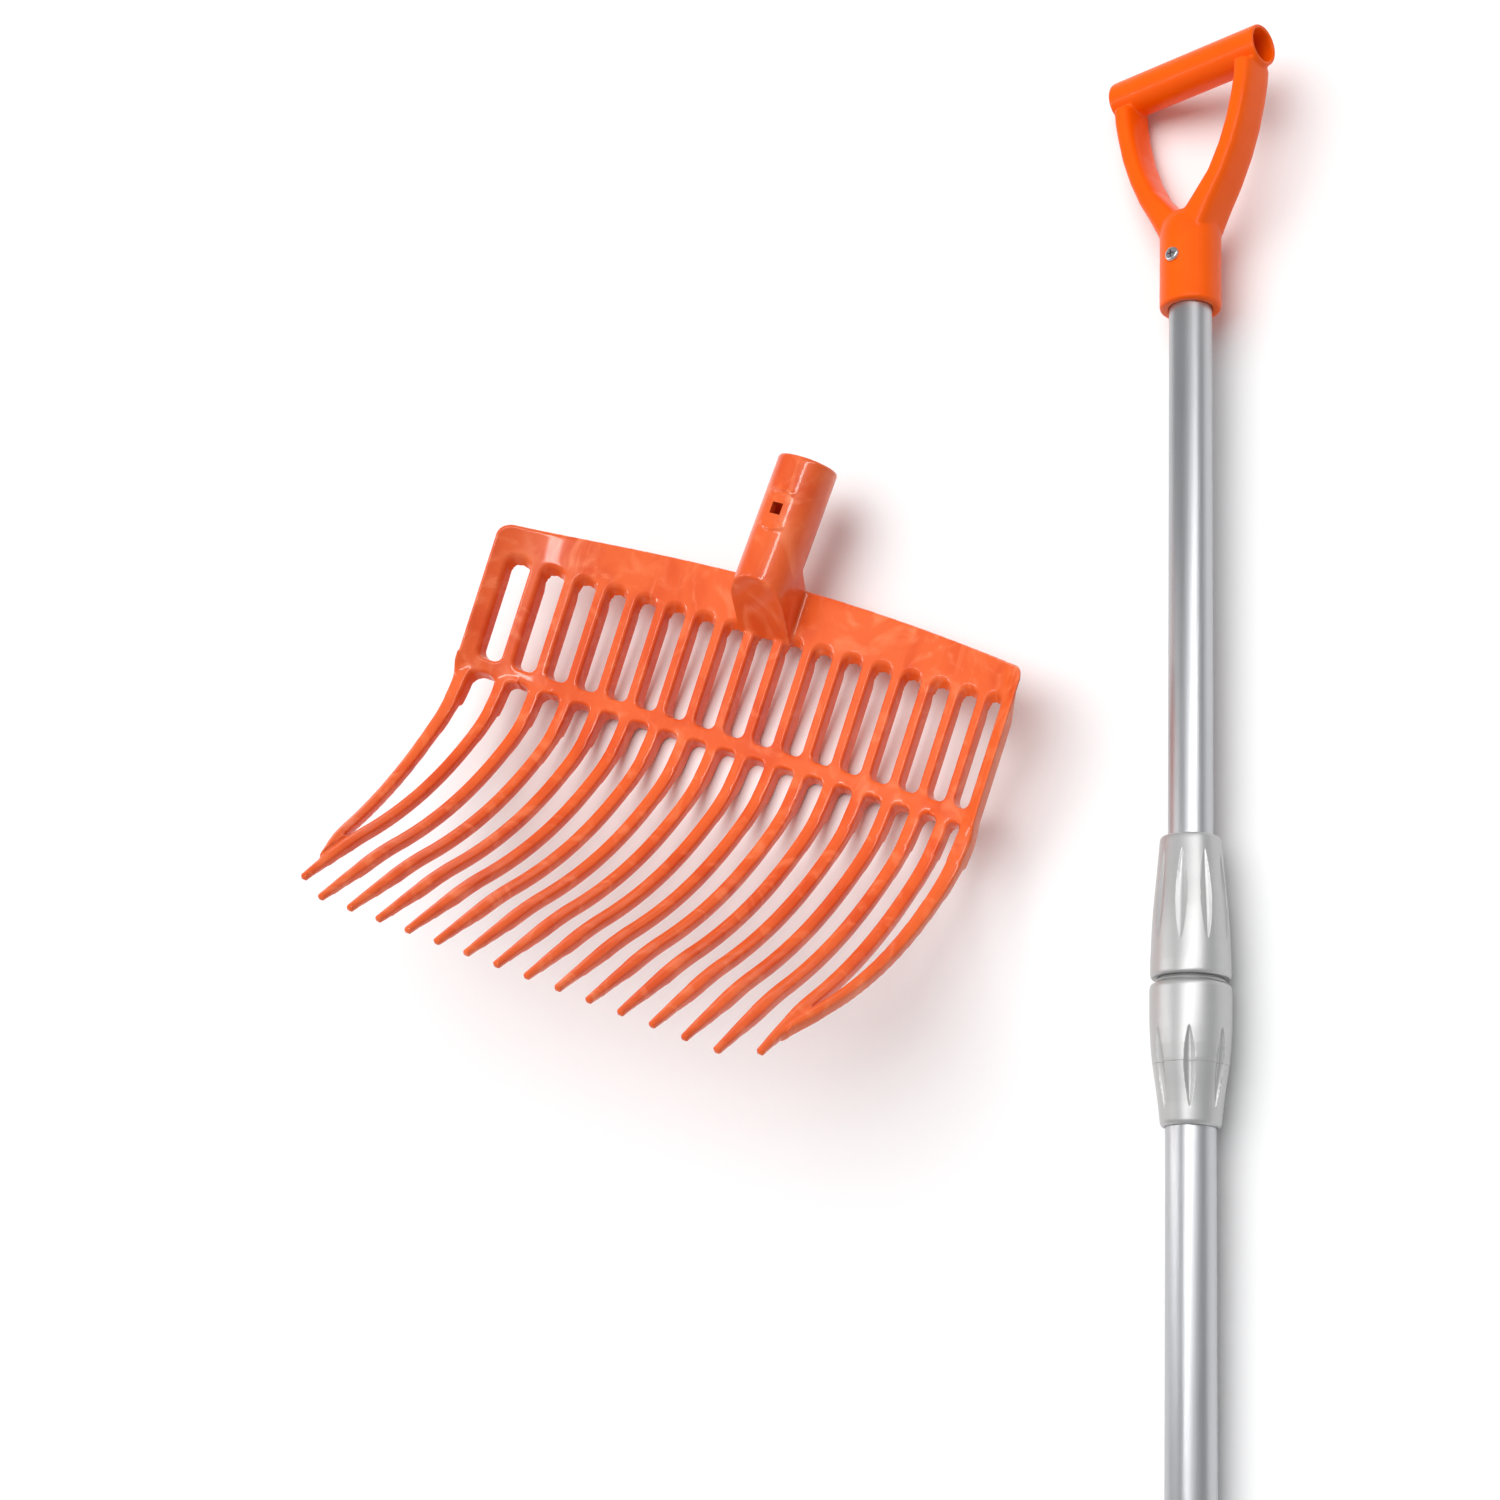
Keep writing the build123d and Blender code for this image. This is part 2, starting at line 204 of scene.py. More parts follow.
def rounded(left, right, low, high, low_radius, high_radius, steps=7):
    """Points (x, y) round a rectangle whose low and high corners have their own radii."""
    corners = [
        (left + low_radius, low + low_radius, low_radius, 180),
        (right - low_radius, low + low_radius, low_radius, 270),
        (right - high_radius, high - high_radius, high_radius, 0),
        (left + high_radius, high - high_radius, high_radius, 90),
    ]
    points = []
    for x, y, radius, start in corners:
        for i in range(steps + 1):
            angle = math.radians(start + 90 * i / steps)
            points.append((x + radius * math.cos(angle), y + radius * math.sin(angle)))
    return points


def plate_rim(x):
    """Height of the plate's top edge, an arc that rounds over at its corners."""
    arc_radius = (head_edge**2 + plate_drop**2) / (2 * plate_drop)
    run = min(abs(x), head_edge - corner_radius)
    height = plate_top - arc_radius + math.sqrt(arc_radius**2 - run**2)
    past = abs(x) - run
    return height - corner_radius + math.sqrt(max(0.0, corner_radius**2 - past**2))


def make_plate(bm):
    """The thin plate above the slots, bevelled round its front edge."""
    steps = [i / 60 for i in range(-60, 61)]
    xs = [head_edge * math.sin(step * math.pi / 2) for step in steps]
    outline = [(-head_edge, slab_top - 1), *((x, plate_rim(x)) for x in xs), (head_edge, slab_top - 1)]
    shrink = 1 - edge_round / head_edge
    front = [(x * shrink, y - edge_round) for x, y in outline]
    skin(bm, [
        [(x, y, -plate_thickness) for x, y in outline],
        [(x, y, -edge_round) for x, y in outline],
        [(x, y, 0.0) for x, y in front],
    ])


def bay(i):
    """Left and right walls of the gap between bars i and i + 1."""
    left = bar_x[i] + (edge_bar_width if i == 0 else bar_width) / 2
    right = bar_x[i + 1] - (edge_bar_width if i == bar_count - 2 else bar_width) / 2
    return left, right


def make_slot_cutters(bm):
    """Slots through the grid, their tops ramped, and the round-topped gaps under the rib."""
    slope = slot_ramp / (bar_depth / 2)
    levels = [(2.0, edge_round), (0.0, edge_round), (-edge_round, 0.0), (-bar_depth - 2.0, 0.0)]
    for i in range(bar_count - 1):
        left, right = bay(i)
        slot, gap = [], []
        for z, grow in levels:
            wide = (left - grow, right + grow)
            top = slot_ramp + slope * z + grow
            outline = rounded(*wide, -grid_height - grow, top, 4.5 + grow, 6.2 + grow)
            slot.append([(x, y, z) for x, y in outline])
            top = -grid_height - rib_height + 0.25 * z + grow
            outline = rounded(*wide, top - 60, top, 3.0 + grow, 5.0 + grow)
            gap.append([(x, y, z) for x, y in outline])
        skin(bm, slot)
        skin(bm, gap)


def make_slab(bm):
    """The block that the slots are cut from, full depth up to the chamfer behind the slots' tops."""
    low = -grid_height - rib_height - 22
    rings = []
    for x, front in ((-head_edge, -edge_round), (edge_round - head_edge, 0.0),
                     (head_edge - edge_round, 0.0), (head_edge, -edge_round)):
        rings.append([(x, low, -bar_depth), (x, -slab_chamfer, -bar_depth), (x, slab_top, -plate_thickness),
                      (x, slab_top, front), (x, low, front)])
    skin(bm, rings)


def depth_at(s, end):
    """Front-to-back depth of a tine at arc length s."""
    if s < tine_neck:
        return bar_depth + (tine_depth - bar_depth) * max(0.0, s) / tine_neck
    if s > end - tine_taper:
        return tine_depth + (tine_tip_depth - tine_depth) * (s - end + tine_taper) / tine_taper
    return tine_depth


def tine_ring(x, s, half, depth):
    """Section of a tine: a ridged front, upright sides and a slightly narrower back."""
    y = tine_root - s
    crown = tine_crown * min(1.0, max(0.0, s) / 30)
    shape = [(-half + 0.5, -depth), (-half, -depth / 2), (-half, -crown), (0, 0), (half, -crown),
             (half, -depth / 2), (half - 0.5, -depth)]
    return [(x + across, y, z) for across, z in shape]


def make_tines(bm):
    for i, x in enumerate(bar_x[1:-1]):
        end = tine_end - (corner_tine_cut if i in (0, bar_count - 3) else 0)
        taper = end - tine_taper
        stops = [-4, 0, 10, 20, 30, tine_neck, taper - 8, taper, taper + 8, end]
        rings = []
        for s in stops:
            past = max(0.0, s - taper) / tine_taper
            half = (tine_width + (tine_tip_width - tine_width) * min(1.0, past * 1.15)) / 2
            rings.append(tine_ring(x, s, half, depth_at(s, end)))
        skin(bm, rings)


def outer_track(s):
    """Distance of an outer tine's middle from the head's middle at arc length s."""
    share = max(0.0, s) / outer_tine_end
    near = half_span - bar_pitch + tine_width
    if share <= 1:
        return half_span + (near - half_span) * share**2.2
    return near - (tine_width * 0.8) * min(1.0, (s - outer_tine_end) / (outer_web_end - outer_tine_end))


def make_outer_tines(bm):
    stops = [-4 + 210 * i / 30 for i in range(31)]
    for hand in (-1, 1):
        rings = []
        for s in stops:
            share = min(1.0, max(0.0, s / outer_tine_end))
            half = (edge_bar_width + (tine_width * 0.8 - edge_bar_width) * share) / 2
            if s > outer_tine_end:
                half *= 1 - 0.5 * (s - outer_tine_end) / (outer_web_end - outer_tine_end)
            x = hand * (outer_track(s) + (edge_bar_width - bar_width) / 4 * (1 - share))
            rings.append(tine_ring(x, s, half, depth_at(s, tine_length)))
        skin(bm, rings)


socket_radius = 19.5
socket_bore = 14.25
socket_depth = 78.0
bolt_square = 7.4
bolt_round = 3.5
bolt_from_mouth = 36.0
mark_radius = 13.0
gusset_thickness = 3.0
gusset_rise = 16.0


def round_socket(radius, along, steps=72, start=0.0, turn=360.0):
    """Points round the socket's axis, at a distance along it."""
    over = Vector((0, math.sin(socket_lean), math.cos(socket_lean)))
    centre = socket_foot + socket_along * along
    points = []
    for i in range(steps):
        angle = math.radians(start + turn * i / steps)
        points.append(centre + Vector((radius * math.cos(angle), 0, 0)) + over * (radius * math.sin(angle)))
    return points


def make_socket(bm):
    length = socket_length
    floor = length - socket_depth
    outline = [(socket_radius, 0.5), (socket_radius, length - 1.6), (socket_radius - 0.5, length - 0.4),
               (socket_radius - 1.6, length), (socket_bore + 1.2, length), (socket_bore, length - 1.2),
               (socket_bore, floor)]
    skin(bm, [round_socket(radius, along) for radius, along in outline])


def make_socket_foot(bm):
    """The D-shaped foot: an arch on straight walls, cut off by the ramp that climbs to the tube."""
    steps = 40
    foot_rear = socket_foot.y + 2
    ramp = (socket_foot.y - 1) / (socket_foot.z + socket_radius)
    front, rear = [], []
    for i in range(steps + 1):
        angle = math.pi * i / steps
        x = socket_radius * math.cos(angle)
        z = socket_foot.z + socket_radius * math.sin(angle)
        lift = (socket_foot.y - 1 - ramp * z) * math.tan(socket_lean)
        front.append((x, 1 + ramp * (z + lift), z + lift))
        rear.append((x, foot_rear, z - (foot_rear - socket_foot.y) * math.tan(socket_lean)))
    for points, y in ((front, -1.6), (rear, foot_rear)):
        points += [(-socket_radius, y, -3.0), (socket_radius, y, -3.0)]
    skin(bm, [front, rear])
    for hand in (-1, 1):
        wall = [(1, -2), (socket_foot.y, socket_foot.z), (plate_top + gusset_rise, socket_foot.z - 1),
                (plate_top, -0.5), (plate_top - 4, -2)]
        sides = (hand * (socket_radius - gusset_thickness), hand * socket_radius)
        skin(bm, [[(x, y, z) for y, z in wall] for x in sides])


def make_bolt_marks(bm):
    """Two thin raised arcs on the socket's front, above and below the bolt hole."""
    for middle in (0, 180):
        rings = []
        for i in range(25):
            angle = math.radians(middle - 34 + 68 * i / 24)
            section = []
            for radius, rise in ((-0.7, -1.5), (-0.7, 0.9), (0.7, 0.9), (0.7, -1.5)):
                across = (mark_radius + radius) * math.sin(angle)
                along = socket_length - bolt_from_mouth + (mark_radius + radius) * math.cos(angle)
                over = Vector((0, math.sin(socket_lean), math.cos(socket_lean)))
                height = math.sqrt(socket_radius**2 - across**2) + rise
                section.append(socket_foot + socket_along * along + Vector((across, 0, 0)) + over * height)
            rings.append(section)
        skin(bm, rings)


def make_bolt_holes(bm):
    over = Vector((0, math.sin(socket_lean), math.cos(socket_lean)))
    centre = socket_foot + socket_along * (socket_length - bolt_from_mouth)
    half = bolt_square / 2
    square = [(-half, -half), (half, -half), (half, half), (-half, half)]
    turns = [i * math.pi / 12 for i in range(24)]
    across = [(bolt_round * math.cos(turn), bolt_round * math.sin(turn)) for turn in turns]
    for outline, near, far in ((square, 5, 30), (across, -5, -30)):
        skin(bm, [
            [centre + Vector((x, 0, 0)) + socket_along * y + over * z for x, y in outline]
            for z in (near, far)
        ])


def dish(x):
    """How far forward the head stands at x across it."""
    q = x / half_span
    return dish_depth * sum(share * q**power for power, share in dish_shape.items())


def along_tine(s):
    """Point (y, z) and heading of a middle tine's front edge at arc length s."""
    y, z, heading = tine_root, 0.0, 0.0
    for length, turn in tine_curve:
        step = min(s, length)
        bend = math.radians(turn) * step / length
        chord = step if bend == 0 else 2 * math.sin(bend / 2) * step / bend
        y -= chord * math.cos(heading + bend / 2)
        z += chord * math.sin(heading + bend / 2)
        heading += bend
        s -= step
        if s <= 0:
            break
    return y, z, heading


def tine_middle(x, s):
    """The x that a point of a tine takes its dish from: the middle of its own tine."""
    neighbour = half_span - bar_pitch
    outer = outer_track(min(s, outer_tine_end))
    size = abs(x)
    inner_side = neighbour + tine_width / 2
    if size > inner_side:
        share = (size - inner_side) / max(0.5, outer - tine_width / 2 - inner_side)
        middle = neighbour + (outer - neighbour) * min(1.0, share)
    else:
        middle = (math.floor(size / bar_pitch) + 0.5) * bar_pitch
    return math.copysign(middle, x)


def bend_head(mesh):
    """Dishes the flat head and curls its tines forward."""
    for vert in mesh.vertices:
        x, y, z = vert.co
        if y > tine_root:
            vert.co.z = z + dish(x)
            continue
        s = tine_root - y
        front_y, front_z, heading = along_tine(s)
        own = min(1.0, s / own_dish_from)
        own = own * own * (3 - 2 * own)
        fade = s / tine_length
        rise = dish(x) + (dish(tine_middle(x, s)) - dish(x)) * own
        vert.co.y = front_y + z * math.sin(heading)
        rise *= 1 - dish_fade[0] * fade - dish_fade[1] * fade**2
        vert.co.z = front_z + z * math.cos(heading) + rise


slab = bmesh.new()
make_slab(slab)
grid = as_object("grid", slab)
cutters = bmesh.new()
make_slot_cutters(cutters)
cut(grid, as_object("slots", cutters))
shells = bmesh.new()
make_plate(shells)
make_tines(shells)
make_outer_tines(shells)
make_socket_foot(shells)
make_socket(shells)
make_bolt_marks(shells)
fork_head = joined("fork_head", [grid, as_object("shells", shells)])
melted(fork_head, moulding_grain, 4)
holes = bmesh.new()
make_bolt_holes(holes)
cut(fork_head, as_object("holes", holes))
bend_head(fork_head.data)


class Wire:
    """A shader socket that is used in sums like a number; each sum adds its Math node."""

    def __init__(self, tree, socket=None):
        self.tree = tree
        self.socket = socket

    def node(self, kind, settings, inputs, output=0):
        made = self.tree.nodes.new(kind)
        for name, value in settings.items():
            setattr(made, name, value)
        for name, value in inputs.items():
            if isinstance(value, Wire):
                self.tree.links.new(value.socket, made.inputs[name])
            else:
                made.inputs[name].default_value = value
        return Wire(self.tree, made.outputs[output])

    def sum(self, operation, first, second):
        return self.node("ShaderNodeMath", {"operation": operation}, {0: first, 1: second})

    def __add__(self, other):
        return self.sum("ADD", self, other)

    def __radd__(self, other):
        return self.sum("ADD", other, self)

    def __sub__(self, other):
        return self.sum("SUBTRACT", self, other)

    def __rsub__(self, other):
        return self.sum("SUBTRACT", other, self)

    def __mul__(self, other):
        return self.sum("MULTIPLY", self, other)

    def __rmul__(self, other):
        return self.sum("MULTIPLY", other, self)


def new_finish(name, **fixed):
    """A material, its shader, and a wire to start its sums from. Fixed values go on the shader."""
    finish = bpy.data.materials.new(name)
    finish.use_nodes = True
    shader = finish.node_tree.nodes["Principled BSDF"]
    for socket, value in fixed.items():
        shader.inputs[socket.replace("_", " ")].default_value = value
    return finish, shader, Wire(finish.node_tree)


def noise(wire, size, detail=2.0, twist=0.0, stretch=(1, 1, 1), turn=0.0):
    """Noise from 0 to 1 in lumps about size metres across, drawn out by stretch along turned axes."""
    place = wire.node("ShaderNodeTexCoord", {}, {}, "Object")
    scaled = wire.node("ShaderNodeMapping", {"vector_type": "TEXTURE"},
                       {"Vector": place, "Rotation": (0, 0, turn),
                        "Scale": tuple(size * pull for pull in stretch)})
    return wire.node("ShaderNodeTexNoise", {},
                     {"Vector": scaled, "Scale": 1.0, "Detail": detail, "Distortion": twist})


def blend(wire, share, first, second):
    """A colour between two, by share."""
    return wire.node("ShaderNodeMix", {"data_type": "RGBA"}, {0: share, 6: first, 7: second}, 2)


def step(wire, value, low, high):
    """0 below low, 1 above high, smooth between."""
    return wire.node("ShaderNodeMapRange", {"interpolation_type": "SMOOTHSTEP"},
                     {"Value": value, "From Min": low, "From Max": high})


def finish_surface(wire, shader, colour, roughness, height, depth):
    """Wires colour, roughness and a bump of the given depth in metres into the shader."""
    bump = wire.node("ShaderNodeBump", {}, {"Height": height, "Strength": 1.0, "Distance": depth})
    for name, value in (("Base Color", colour), ("Roughness", roughness), ("Normal", bump)):
        wire.tree.links.new(value.socket, shader.inputs[name])


def make_fork_plastic():
    """Glossy orange-red plastic with the faint flow swirls and streaks of a large moulding."""
    finish, shader, wire = new_finish(
        "fork_plastic", Specular_IOR_Level=0.25, Coat_Weight=0.55, Coat_Roughness=0.07, Coat_IOR=1.5)
    plain = (0.86, 0.128, 0.022, 1)
    pale = (1.0, 0.27, 0.11, 1)
    deep = (0.74, 0.070, 0.006, 1)
    swirl = step(wire, noise(wire, 0.04, 4.0, 3.0), 0.48, 0.74)
    cloud = step(wire, noise(wire, 0.07, 3.0, 1.5), 0.42, 0.70)
    streak = step(wire, noise(wire, 0.006, 2.0, 0.3, (1, 14, 14), head_turn), 0.60, 0.72)
    colour = blend(wire, swirl * 0.55 + streak * cloud * 0.5, blend(wire, cloud * 0.7, plain, deep), pale)
    scuff = noise(wire, 0.012, 4.0, 0.4)
    grain = noise(wire, 0.0016, 2.0)
    finish_surface(wire, shader, colour, 0.26 + scuff * 0.14, scuff * 0.6 + grain * 0.4, 0.00010)
    return finish


def sharpen(piece, angle=35.0):
    """Keeps the edges sharper than the angle crisp on a smooth piece."""
    for edge in piece.data.edges:
        edge.use_edge_sharp = False
    piece.data.set_sharp_from_angle(angle=math.radians(angle))


def finish_piece(piece, finish, body, slot, *nodes):
    """Puts a made piece in its finish, on its body, in the place of its CAD nodes."""
    piece.data.materials.clear()
    piece.data.materials.append(finish)
    smooth(piece)
    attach(piece, body)
    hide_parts(*nodes)


fork_head.data.transform(head_place)
finish_piece(fork_head, make_fork_plastic(), "fork_head", "fork_plastic", "fork_socket", "socket_foot",
             "socket_gussets", "fork_plate", "grid_bars", "cross_rib", "fork_tines", "outer_tines")

sharpen(fork_head)

# ==== Pole tubes ==========================================================
# Two drawn aluminium tubes, satin anodised. The upper one slides in the
# lower one, whose end has a cross hole for the fork's bolt.
pole_radius = 14.0
tube_wall = 0.9
lower_tube_low = 2.0
lower_tube_top = 620.0
bolt_hole_height = 44.0
inner_radius = 12.8
inner_bore = 11.8
upper_tube_low = 315.0
upper_tube_top = 1095.0


def turned(name, outline, steps=96):
    """Revolves a closed outline of (radius, height) points about the pole's axis."""
    bm = bmesh.new()
    rings = []
    for i in range(steps):
        angle = 2 * math.pi * i / steps
        rings.append([(r * math.cos(angle), r * math.sin(angle), z) for r, z in outline])
    skin(bm, rings, ring_shaped=True)
    return as_object(name, bm)


def tube_outline(outer, inner, low, high, edge=0.25):
    """A tube's wall with its end edges broken, with loops that keep the edges crisp."""
    return [(outer - edge, low), (outer, low + edge), (outer, low + 1), (outer, high - 1),
            (outer, high - edge), (outer - edge, high), (inner + edge, high), (inner, high - edge),
            (inner, high - 1), (inner, low + 1), (inner, low + edge), (inner + edge, low)]


def make_aluminium():
    """Satin anodised tube: fine lines drawn along it, and a slight cloudiness."""
    finish, shader, wire = new_finish("tube_aluminium", Metallic=1.0)
    lines = noise(wire, 0.0006, 3.0, 0.0, (1, 160, 1))
    cloud = noise(wire, 0.03, 3.0, 0.5, (1, 5, 1))
    colour = blend(wire, cloud, (0.50, 0.51, 0.525, 1), (0.58, 0.59, 0.605, 1))
    finish_surface(wire, shader, colour, 0.30 + lines * 0.12 + cloud * 0.06, lines, 0.00004)
    return finish


aluminium = make_aluminium()
lower_tube = turned(
    "lower_tube_drawn", tube_outline(pole_radius, pole_radius - tube_wall, lower_tube_low, lower_tube_top))
cross_hole = bmesh.new()
turns = [i * math.pi / 16 for i in range(32)]
hole_ring = [(bolt_round * math.cos(turn), bolt_round * math.sin(turn)) for turn in turns]
skin(cross_hole, [[(x, y, bolt_hole_height + z) for x, z in hole_ring] for y in (-20, 20)])
cut(lower_tube, as_object("cross_hole", cross_hole))
lower_tube.data.transform(pole_place)
finish_piece(lower_tube, aluminium, "lower_pole", "tube_aluminium", "lower_tube")
sharpen(lower_tube)
upper_tube = turned(
    "upper_tube_drawn", tube_outline(inner_radius, inner_bore, upper_tube_low, upper_tube_top))
upper_tube.data.transform(pole_place)
finish_piece(upper_tube, aluminium, "upper_pole", "tube_aluminium", "upper_tube")
sharpen(upper_tube)

# ==== End plug, guide bush and collet =====================================
# Small moulded pieces that close the lower tube, centre the upper one in it,
# and grip it when the nut is turned. They sit inside, so they keep their shape.


def make_plain_plastic(name, low, high, rough):
    """Plain moulded plastic: a slight mottle and a fine spark-eroded texture."""
    finish, shader, wire = new_finish(name, Specular_IOR_Level=0.4)
    mottle = noise(wire, 0.004, 3.0)
    texture = noise(wire, 0.0004, 2.0)
    colour = blend(wire, mottle, low, high)
    finish_surface(wire, shader, colour, rough + texture * 0.15, texture, 0.00003)
    return finish


black_plastic = make_plain_plastic("black_plastic", (0.022, 0.022, 0.024, 1), (0.035, 0.035, 0.037, 1), 0.45)
white_plastic = make_plain_plastic("white_plastic", (0.74, 0.73, 0.70, 1), (0.82, 0.81, 0.78, 1), 0.35)
inside_finish = {"lower_end_plug": black_plastic, "guide_bush": white_plastic, "lock_collet": white_plastic}
for node, finish in inside_finish.items():
    inside = frame["nodes"][node]
    inside.data.materials.clear()
    inside.data.materials.append(finish)

# ==== Twist lock ==========================================================
# Base and nut moulded in silver-grey plastic with finger flutes, and a thin
# ring in the groove between them. The base is fixed on the lower tube, and
# the nut turns on its threaded neck and squeezes the collet.
base_low = 560.0
base_high = 639.0
nut_low = 643.0
nut_high = 724.0
neck_radius = 17.4
neck_top = base_high + 38.0
ring_radius = 19.7
nut_bore = neck_radius + 0.35
collet_room = 16.2
base_profile = [(14.3, 0), (15.6, 0.1), (16.4, 0.8), (16.9, 2.2), (17.3, 6), (17.9, 12), (18.8, 19),
                (20.0, 27), (21.3, 36), (22.1, 44), (22.6, 53), (22.85, 62), (22.9, 70), (22.9, 76.5),
                (22.6, 78.2), (21.9, 79)]
nut_profile = [(21.7, 0), (22.3, 0.8), (22.5, 2.2), (22.5, 8), (22.3, 14), (22.0, 21), (21.6, 30), (21.1, 38),
               (20.3, 47), (19.4, 56), (18.6, 65), (17.9, 73), (17.5, 78.2), (17.2, 80.2), (16.6, 81)]


def radius_at(profile, height):
    """Radius of a smooth outline at a height, between its points."""
    for (r0, z0), (r1, z1) in zip(profile, profile[1:]):
        if height <= z1:
            share = (height - z0) / (z1 - z0)
            return r0 + (r1 - r0) * share
    return profile[-1][0]


def flute(angle, height, count, low, high, width, depth, phase):
    """Depth of the lens-shaped finger flutes at a place on the surface."""
    if not low < height < high:
        return 0.0
    share = (height - low) / (high - low)
    half = math.radians(width) / 2 * math.sin(math.pi * share) ** 0.8
    turn = (angle - phase) % (2 * math.pi / count)
    off = min(turn, 2 * math.pi / count - turn)
    if off >= half:
        return 0.0
    return depth * (1 - (off / half) ** 2) * math.sin(math.pi * share) ** 0.6


def fluted(name, profile, base, inner, flutes, seam=None, steps=288, rows=110):
    """Revolves a shell whose outside has flutes; inner is its bore's outline, from top to bottom."""
    top = profile[-1][1]
    heights = sorted({top * i / rows for i in range(rows + 1)} | {z for r, z in profile})
    if seam:
        heights = sorted(set(heights) | {seam - 0.35, seam - 0.12, seam + 0.12, seam + 0.35})
    bm = bmesh.new()
    rings = []
    for i in range(steps):
        angle = 2 * math.pi * i / steps
        section = []
        for height in heights:
            radius = radius_at(profile, height) - flute(angle, height, *flutes)
            if seam and abs(height - seam) < 0.2:
                radius -= 0.25
            section.append((radius, base + height))
        section += inner
        rings.append([(r * math.cos(angle), r * math.sin(angle), z) for r, z in section])
    skin(bm, rings, ring_shaped=True)
    return as_object(name, bm)


def make_lock_plastic():
    """Silver-grey plastic with a satin metallic fleck."""
    finish, shader, wire = new_finish("lock_plastic", Metallic=0.65, Specular_IOR_Level=0.5)
    fleck = noise(wire, 0.0005, 2.0)
    cloud = noise(wire, 0.02, 2.0, 0.6)
    colour = blend(wire, fleck * 0.6 + cloud * 0.4, (0.48, 0.48, 0.475, 1), (0.60, 0.60, 0.595, 1))
    finish_surface(wire, shader, colour, 0.36 + fleck * 0.12, fleck, 0.00002)
    return finish


lock_plastic = make_lock_plastic()
base_inner = [(neck_radius, base_high), (neck_radius, neck_top), (inner_radius + 0.3, neck_top),
              (inner_radius + 0.3, lower_tube_top), (pole_radius, lower_tube_top)]
base_flutes = (7, 9.0, 54.0, 18.0, 2.0, -0.089)
lock_base = fluted("lock_base_shell", base_profile, base_low, base_inner, base_flutes, seam=34.0)
lock_base.data.transform(pole_place)
finish_piece(lock_base, lock_plastic, "lower_pole", "lock_plastic", "lock_base")
sharpen(lock_base)
collet_low = neck_top + 0.3
collet_top = collet_low + 33.3
nut_inner = [(inner_radius + 0.3, nut_high), (inner_radius + 0.3, collet_top), (collet_room, collet_top),
             (collet_room, collet_low), (nut_bore, collet_low), (nut_bore, nut_low)]
nut_flutes = (9, 19.0, 72.0, 18.0, 1.5, 0.183)
lock_nut = fluted("lock_nut_shell", nut_profile, nut_low, nut_inner, nut_flutes)
lock_nut.data.transform(pole_place)
finish_piece(lock_nut, lock_plastic, "lock_nut", "lock_plastic", "lock_nut")
sharpen(lock_nut)
lock_ring = turned("lock_ring_turned", [
    (neck_radius + 0.05, base_high), (ring_radius - 0.9, base_high), (ring_radius - 0.5, base_high + 0.6),
    (ring_radius - 1.1, base_high + 1.3), (ring_radius - 0.2, base_high + 1.7),
    (ring_radius, base_high + 2.3), (ring_radius - 0.7, base_high + 3.0),
    (ring_radius - 0.9, nut_low - 0.3), (neck_radius + 0.05, nut_low - 0.3)])
lock_ring.data.transform(pole_place)
finish_piece(lock_ring, lock_plastic, "lower_pole", "lock_plastic", "lock_ring")
sharpen(lock_ring)

# ==== D-grip ==============================================================
# One moulding in bright orange plastic: a socket on the upper tube, two
# curved blade-like arms, and a hollow bar that is open at its ends.
grip_low = 1053.0
grip_socket_radius = 18.5
grip_socket_length = 50.0
grip_tube_depth = 42.0
grip_bar_length = 108.0
grip_bar_radius = 13.0
grip_bar_bore = 10.4
grip_bar_height = 160.0
arm_path = [(0, 44, 27, 20), (8, 54, 29, 21), (16, 66, 28, 17), (25.5, 80, 26.5, 14), (33, 96, 26, 13),
            (38.5, 112, 26, 12.6), (42.3, 128, 26, 12.4), (44.4, 140, 26, 12.6), (45, 149, 26, 13)]
screw_height = 30.0
screw_hole = 2.1
screw_spot = 4.7


def arm_ring(middle, across, width, thickness, steps=28):
    """An arm's section, a rounded blade: thick along across, wide along y."""
    points = []
    for i in range(steps):
        angle = 2 * math.pi * i / steps
        u = math.copysign(abs(math.cos(angle)) ** 0.55, math.cos(angle)) * thickness / 2
        v = math.copysign(abs(math.sin(angle)) ** 0.7, math.sin(angle)) * width / 2
        points.append(middle + across * u + Vector((0, v, 0)))
    return points


def make_grip_arm(bm, hand):
    middles = [Vector((hand * x, 0, z)) for x, z, width, thickness in arm_path]
    rings = []
    for i, (x, z, width, thickness) in enumerate(arm_path):
        along = (middles[min(i + 1, len(middles) - 1)] - middles[max(i - 1, 0)]).normalized()
        across = Vector((along.z, 0, -along.x))
        rings.append(arm_ring(middles[i], across, width, thickness))
    skin(bm, rings)


